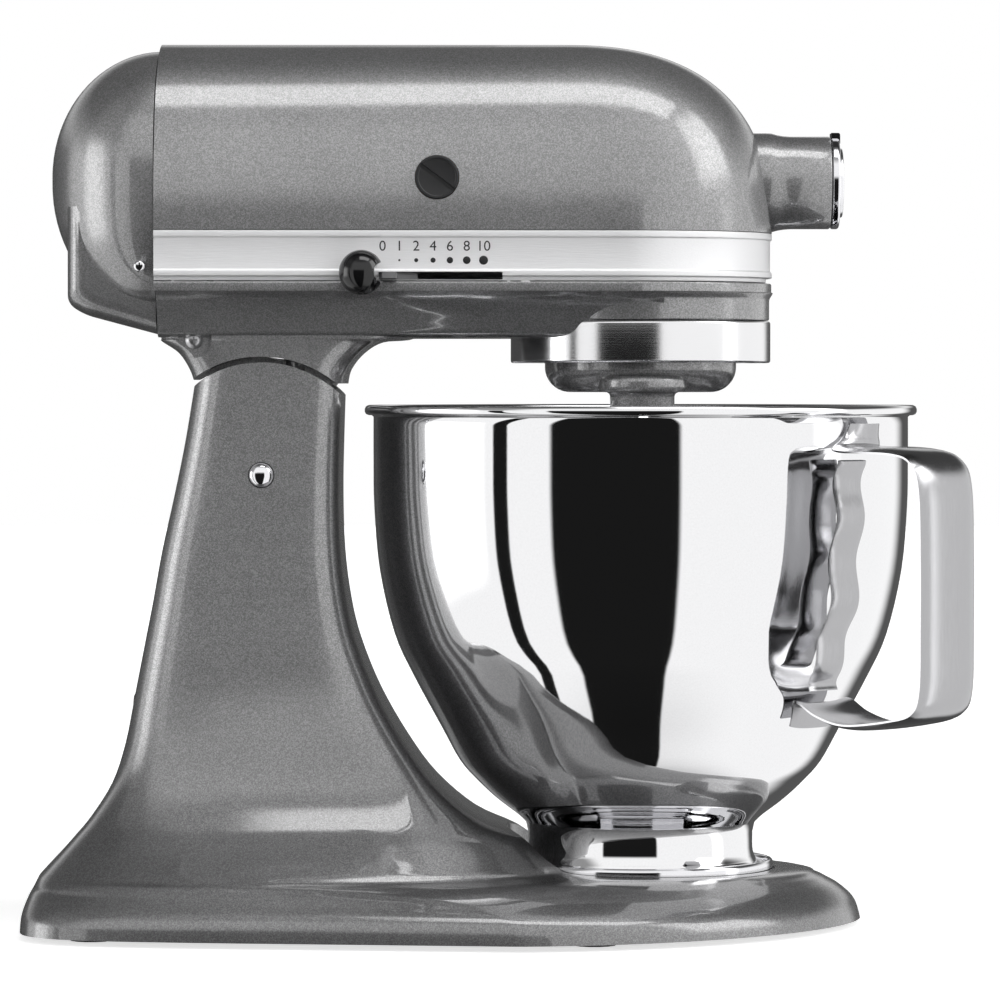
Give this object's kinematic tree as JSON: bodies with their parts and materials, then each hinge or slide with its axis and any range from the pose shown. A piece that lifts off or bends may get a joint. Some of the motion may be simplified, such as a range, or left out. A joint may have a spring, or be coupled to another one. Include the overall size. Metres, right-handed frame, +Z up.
{
  "type": "stand mixer",
  "caption": "Tilt-head planetary kitchen mixer with a polished bowl, side handle, brushed trim band and a front attachment hub.",
  "frame": {"origin": "centre of the whole outline on the table, under the rubber feet", "axes": "+X along the head towards the attachment hub, -Y the speed lever side, +Z up"},
  "size_m": [0.3707, 0.2346, 0.3518],
  "materials": {
    "paint": "metallic grey paint with fine flake under clear coat",
    "polished_steel": "mirror polished stainless steel",
    "chrome": "bright chrome",
    "satin_steel": "satin steel with fine turning lines",
    "brushed_aluminium": "brushed lengthways",
    "machined_steel": "machined",
    "armature_core": "copper windings on laminated core",
    "bronze": "machined bronze",
    "gloss_black": "gloss black",
    "carbon": "matt carbon",
    "white_nylon": "moulded nylon",
    "black_rubber": "moulded rubber"
  },
  "bodies": {
    "stand": {"pedestal": "paint", "bowl_clamp_plate": "chrome", "plate_screw_1": "machined_steel", "plate_screw_2": "machined_steel", "plate_screw_3": "machined_steel", "plate_screw_4": "machined_steel", "hinge_pin": "chrome", "foot_1": "black_rubber", "foot_2": "black_rubber", "foot_3": "black_rubber", "foot_4": "black_rubber", "foot_5": "black_rubber", "cord_grommet": "black_rubber", "height_adjust_screw": "machined_steel"},
    "bowl": {"bowl": "polished_steel", "handle_outer": "satin_steel", "handle_inner": "satin_steel"},
    "head": {"upper_housing": "paint", "lower_housing": "paint", "rear_cover": "paint", "rear_cover_screw": "chrome", "trim_band": "brushed_aluminium", "ring_gear": "machined_steel", "drip_ring": "satin_steel", "brush_cap_left": "gloss_black", "brush_cap_right": "gloss_black", "carbon_brush_left": "carbon", "carbon_brush_right": "carbon", "brush_spring_left": "machined_steel", "brush_spring_right": "machined_steel", "brush_holder_left": "bronze", "brush_holder_right": "bronze", "field_stator": "machined_steel", "rear_bearing": "machined_steel", "front_bearing": "machined_steel", "hub_bushing": "bronze", "speed_control_plate": "carbon", "bearing_plate": "machined_steel", "housing_screw_left": "machined_steel", "housing_screw_right": "machined_steel"},
    "speed_lever": {"speed_knob": "gloss_black", "speed_arm": "machined_steel"},
    "lock_lever": {"lock_knob": "gloss_black", "lock_arm": "machined_steel"},
    "lock_bolt": {"lock_pin": "machined_steel"},
    "hub_flap": {"hub_cover": "chrome"},
    "attachment_screw": {"attachment_knob": "gloss_black"},
    "attachment_drive": {"hub_drive": "machined_steel"},
    "planetary": {"planetary_hub": "paint", "centre_shaft": "machined_steel", "centre_gear": "machined_steel"},
    "agitator": {"agitator_shaft": "machined_steel", "agitator_pinion": "machined_steel", "flat_beater": "satin_steel"},
    "jackshaft_set": {"jackshaft": "machined_steel", "worm_wheel": "bronze"},
    "armature": {"armature_shaft": "machined_steel", "armature_core": "armature_core", "commutator": "armature_core", "cooling_fan": "white_nylon"}
  },
  "joints": [
    {"name": "head_tilt", "type": "hinge", "parent": "stand", "child": "head", "pos_m": [-0.0907, 0, 0.1805], "axis": [0, -1, 0], "range_deg": [0, 42]},
    {"name": "bowl_twist", "type": "hinge", "parent": "stand", "child": "bowl", "pos_m": [0.0595, 0, 0.0221], "axis": [0, 0, 1], "range_deg": [0, 40]},
    {"name": "speed_slide", "type": "slide", "parent": "head", "child": "speed_lever", "axis": [1, 0, 0], "range_m": [0, 0.0393]},
    {"name": "lock_slide", "type": "slide", "parent": "head", "child": "lock_lever", "axis": [1, 0, 0], "range_m": [0, 0.012]},
    {"name": "lock_pin_drop", "type": "slide", "parent": "head", "child": "lock_bolt", "axis": [0, 0, -1], "range_m": [0, 0.004]},
    {"name": "hub_cover_flip", "type": "hinge", "parent": "head", "child": "hub_flap", "pos_m": [0.1379, 0, 0.3163], "axis": [0, -1, 0], "range_deg": [0, 95]},
    {"name": "attachment_knob_turn", "type": "hinge", "parent": "head", "child": "attachment_screw", "pos_m": [0.1255, 0.0195, 0.2968], "axis": [0, 1, 0], "range_deg": [0, 720]},
    {"name": "planetary_spin", "type": "hinge", "parent": "head", "child": "planetary", "pos_m": [0.0595, 0, 0.22], "axis": [0, 0, 1], "continuous": true},
    {"name": "agitator_spin", "type": "hinge", "parent": "planetary", "child": "agitator", "pos_m": [0.0595, -0.02813, 0.22], "axis": [0, 0, 1], "continuous": true},
    {"name": "jackshaft_spin", "type": "hinge", "parent": "head", "child": "jackshaft_set", "pos_m": [0.0385, 0.028, 0.27], "axis": [0, 0, 1], "continuous": true},
    {"name": "armature_spin", "type": "hinge", "parent": "head", "child": "armature", "pos_m": [-0.0805, 0, 0.2968], "axis": [1, 0, 0], "continuous": true},
    {"name": "hub_drive_spin", "type": "hinge", "parent": "head", "child": "attachment_drive", "pos_m": [0.1095, 0, 0.2968], "axis": [1, 0, 0], "continuous": true}
  ],
  "couplings": [
    {"joint": "lock_pin_drop", "follows": "lock_slide", "ratio": 0.3333},
    {"joint": "agitator_spin", "follows": "planetary_spin", "ratio": -4},
    {"joint": "jackshaft_spin", "follows": "planetary_spin", "ratio": -3},
    {"joint": "armature_spin", "follows": "planetary_spin", "ratio": 30},
    {"joint": "hub_drive_spin", "follows": "planetary_spin", "ratio": 1}
  ]
}
